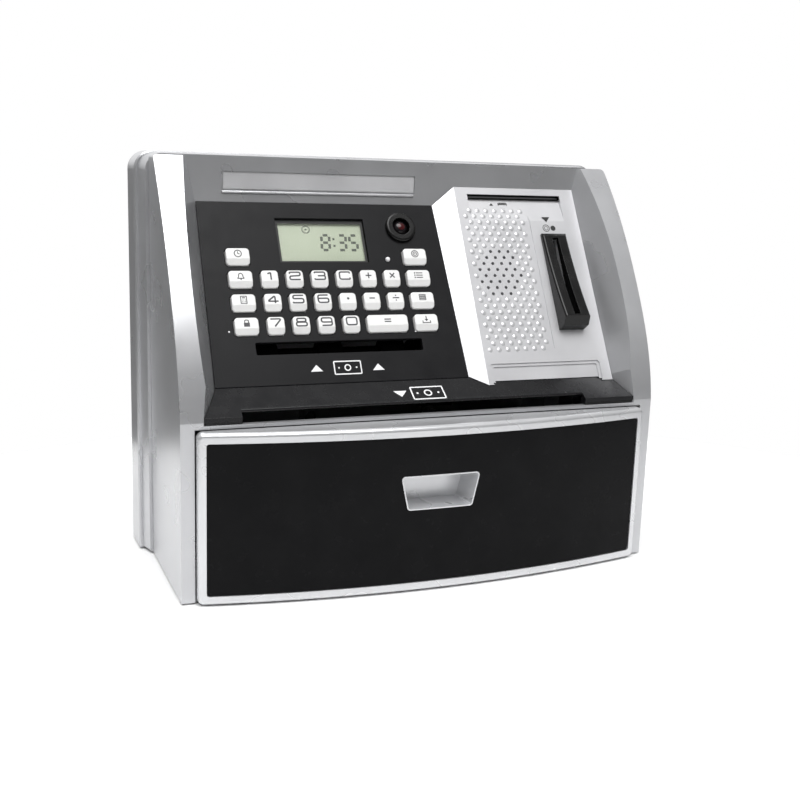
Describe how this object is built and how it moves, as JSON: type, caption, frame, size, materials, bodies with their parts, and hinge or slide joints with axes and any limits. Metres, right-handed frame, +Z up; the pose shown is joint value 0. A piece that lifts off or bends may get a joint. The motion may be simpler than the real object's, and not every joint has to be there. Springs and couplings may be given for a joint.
{
  "type": "toy atm savings bank",
  "caption": "Toy cash-machine savings bank: sunk sloping keypad with clock display, coin and card slots on the right, banknote slots, and a bowed drawer that slides out below.",
  "frame": {"origin": "on the table under the middle of the bounding box", "axes": "+X to the right of someone facing the keypad, +Y to the back, +Z up"},
  "size_m": [0.254, 0.1372, 0.2007],
  "materials": {
    "silver_shell": "satin silver paint-like plastic",
    "charcoal_panel": "fine matt",
    "black_gloss": "gloss black",
    "key_white": "satin pale grey",
    "lcd_glass": "clear flat window",
    "lcd_cell": "grey-green display",
    "dome_red": "deep red, translucent look",
    "board_green": "lacquered circuit board",
    "mat_grey": "grey silicone",
    "speaker_black": "matt black",
    "inner_plastic": "grey moulding",
    "steel": "plated",
    "solenoid_dark": "taped coil",
    "rubber_black": "matt",
    "brass": "turned",
    "cell_wrap": "plain printed sleeve"
  },
  "bodies": {
    "housing": {"front_housing": "silver_shell", "rear_housing": "silver_shell", "base_plate": "inner_plastic", "keypad_panel": "charcoal_panel", "coin_panel": "silver_shell", "bill_ledge": "black_gloss", "lcd_window": "lcd_glass", "lcd_module": "lcd_cell", "camera_bezel": "black_gloss", "camera_dome": "dome_red", "status_led": "dome_red", "key_mat": "mat_grey", "circuit_board": "board_green", "speaker": "speaker_black", "coin_bezel": "black_gloss", "coin_chute": "inner_plastic", "latch_solenoid": "solenoid_dark", "latch_spring": "steel", "feeder_frame": "inner_plastic", "feed_motor": "steel", "battery_box": "inner_plastic", "batteries": "cell_wrap", "rubber_feet": "rubber_black", "housing_screws": "steel"},
    "drawer": {"drawer_tray": "inner_plastic", "drawer_front_frame": "silver_shell", "drawer_front_panel": "black_gloss", "drawer_pull_cup": "silver_shell"},
    "latch_bolt": {"drawer_latch": "steel"},
    "hatch": {"battery_door": "inner_plastic"},
    "coin_feeler": {"coin_lever": "inner_plastic"},
    "feed_drive": {"feed_shaft": "steel", "feed_rollers": "rubber_black"},
    "motor_drive": {"motor_pinion": "brass"},
    "pinch": {"pinch_roller": "steel"},
    "key_time": {"key_time": "key_white"},
    "key_alarm": {"key_alarm": "key_white"},
    "key_calculator": {"key_calculator": "key_white"},
    "key_password": {"key_password": "key_white"},
    "key_target": {"key_target": "key_white"},
    "key_balance": {"key_balance": "key_white"},
    "key_total": {"key_total": "key_white"},
    "key_withdraw": {"key_withdraw": "key_white"},
    "key_one": {"key_one": "key_white"},
    "key_two": {"key_two": "key_white"},
    "key_three": {"key_three": "key_white"},
    "key_clear": {"key_clear": "key_white"},
    "key_plus": {"key_plus": "key_white"},
    "key_times": {"key_times": "key_white"},
    "key_four": {"key_four": "key_white"},
    "key_five": {"key_five": "key_white"},
    "key_six": {"key_six": "key_white"},
    "key_point": {"key_point": "key_white"},
    "key_minus": {"key_minus": "key_white"},
    "key_divide": {"key_divide": "key_white"},
    "key_seven": {"key_seven": "key_white"},
    "key_eight": {"key_eight": "key_white"},
    "key_nine": {"key_nine": "key_white"},
    "key_zero": {"key_zero": "key_white"},
    "key_equals": {"key_equals": "key_white"}
  },
  "joints": [
    {"name": "drawer_slide", "type": "slide", "parent": "housing", "child": "drawer", "axis": [0, -1, 0], "range_m": [0, 0.075]},
    {"name": "latch_slide", "type": "slide", "parent": "housing", "child": "latch_bolt", "axis": [0, 0, -1], "range_m": [0, 0.004], "stiffness_N_per_m": 300, "deforming": ["latch_spring"]},
    {"name": "hatch_pull", "type": "slide", "parent": "housing", "child": "hatch", "axis": [0, 1, 0], "range_m": [0, 0.02]},
    {"name": "coin_feeler_hinge", "type": "hinge", "parent": "housing", "child": "coin_feeler", "pos_m": [0.0945, -0.0034, 0.109], "axis": [0, -1, 0], "range_deg": [0, 25], "stiffness_Nm_per_rad": 0.0005},
    {"name": "feed_spin", "type": "hinge", "parent": "housing", "child": "feed_drive", "pos_m": [-0.04, -0.00671, 0.10628], "axis": [1, 0, 0], "continuous": true},
    {"name": "motor_spin", "type": "hinge", "parent": "housing", "child": "motor_drive", "pos_m": [0.012, 0.00377, 0.10023], "axis": [1, 0, 0], "continuous": true},
    {"name": "pinch_spin", "type": "hinge", "parent": "housing", "child": "pinch", "pos_m": [-0.04, -0.01206, 0.09702], "axis": [1, 0, 0], "continuous": true},
    {"name": "key_time_press", "type": "slide", "parent": "housing", "child": "key_time", "axis": [0, 0.866, -0.5], "range_m": [0, 0.0012], "stiffness_N_per_m": 350},
    {"name": "key_alarm_press", "type": "slide", "parent": "housing", "child": "key_alarm", "axis": [0, 0.866, -0.5], "range_m": [0, 0.0012], "stiffness_N_per_m": 350},
    {"name": "key_calculator_press", "type": "slide", "parent": "housing", "child": "key_calculator", "axis": [0, 0.866, -0.5], "range_m": [0, 0.0012], "stiffness_N_per_m": 350},
    {"name": "key_password_press", "type": "slide", "parent": "housing", "child": "key_password", "axis": [0, 0.866, -0.5], "range_m": [0, 0.0012], "stiffness_N_per_m": 350},
    {"name": "key_target_press", "type": "slide", "parent": "housing", "child": "key_target", "axis": [0, 0.866, -0.5], "range_m": [0, 0.0012], "stiffness_N_per_m": 350},
    {"name": "key_balance_press", "type": "slide", "parent": "housing", "child": "key_balance", "axis": [0, 0.866, -0.5], "range_m": [0, 0.0012], "stiffness_N_per_m": 350},
    {"name": "key_total_press", "type": "slide", "parent": "housing", "child": "key_total", "axis": [0, 0.866, -0.5], "range_m": [0, 0.0012], "stiffness_N_per_m": 350},
    {"name": "key_withdraw_press", "type": "slide", "parent": "housing", "child": "key_withdraw", "axis": [0, 0.866, -0.5], "range_m": [0, 0.0012], "stiffness_N_per_m": 350},
    {"name": "key_one_press", "type": "slide", "parent": "housing", "child": "key_one", "axis": [0, 0.866, -0.5], "range_m": [0, 0.0012], "stiffness_N_per_m": 350},
    {"name": "key_two_press", "type": "slide", "parent": "housing", "child": "key_two", "axis": [0, 0.866, -0.5], "range_m": [0, 0.0012], "stiffness_N_per_m": 350},
    {"name": "key_three_press", "type": "slide", "parent": "housing", "child": "key_three", "axis": [0, 0.866, -0.5], "range_m": [0, 0.0012], "stiffness_N_per_m": 350},
    {"name": "key_clear_press", "type": "slide", "parent": "housing", "child": "key_clear", "axis": [0, 0.866, -0.5], "range_m": [0, 0.0012], "stiffness_N_per_m": 350},
    {"name": "key_plus_press", "type": "slide", "parent": "housing", "child": "key_plus", "axis": [0, 0.866, -0.5], "range_m": [0, 0.0012], "stiffness_N_per_m": 350},
    {"name": "key_times_press", "type": "slide", "parent": "housing", "child": "key_times", "axis": [0, 0.866, -0.5], "range_m": [0, 0.0012], "stiffness_N_per_m": 350},
    {"name": "key_four_press", "type": "slide", "parent": "housing", "child": "key_four", "axis": [0, 0.866, -0.5], "range_m": [0, 0.0012], "stiffness_N_per_m": 350},
    {"name": "key_five_press", "type": "slide", "parent": "housing", "child": "key_five", "axis": [0, 0.866, -0.5], "range_m": [0, 0.0012], "stiffness_N_per_m": 350},
    {"name": "key_six_press", "type": "slide", "parent": "housing", "child": "key_six", "axis": [0, 0.866, -0.5], "range_m": [0, 0.0012], "stiffness_N_per_m": 350},
    {"name": "key_point_press", "type": "slide", "parent": "housing", "child": "key_point", "axis": [0, 0.866, -0.5], "range_m": [0, 0.0012], "stiffness_N_per_m": 350},
    {"name": "key_minus_press", "type": "slide", "parent": "housing", "child": "key_minus", "axis": [0, 0.866, -0.5], "range_m": [0, 0.0012], "stiffness_N_per_m": 350},
    {"name": "key_divide_press", "type": "slide", "parent": "housing", "child": "key_divide", "axis": [0, 0.866, -0.5], "range_m": [0, 0.0012], "stiffness_N_per_m": 350},
    {"name": "key_seven_press", "type": "slide", "parent": "housing", "child": "key_seven", "axis": [0, 0.866, -0.5], "range_m": [0, 0.0012], "stiffness_N_per_m": 350},
    {"name": "key_eight_press", "type": "slide", "parent": "housing", "child": "key_eight", "axis": [0, 0.866, -0.5], "range_m": [0, 0.0012], "stiffness_N_per_m": 350},
    {"name": "key_nine_press", "type": "slide", "parent": "housing", "child": "key_nine", "axis": [0, 0.866, -0.5], "range_m": [0, 0.0012], "stiffness_N_per_m": 350},
    {"name": "key_zero_press", "type": "slide", "parent": "housing", "child": "key_zero", "axis": [0, 0.866, -0.5], "range_m": [0, 0.0012], "stiffness_N_per_m": 350},
    {"name": "key_equals_press", "type": "slide", "parent": "housing", "child": "key_equals", "axis": [0, 0.866, -0.5], "range_m": [0, 0.0012], "stiffness_N_per_m": 350}
  ],
  "couplings": [
    {"joint": "motor_spin", "follows": "feed_spin", "ratio": -3},
    {"joint": "pinch_spin", "follows": "feed_spin", "ratio": -1}
  ]
}
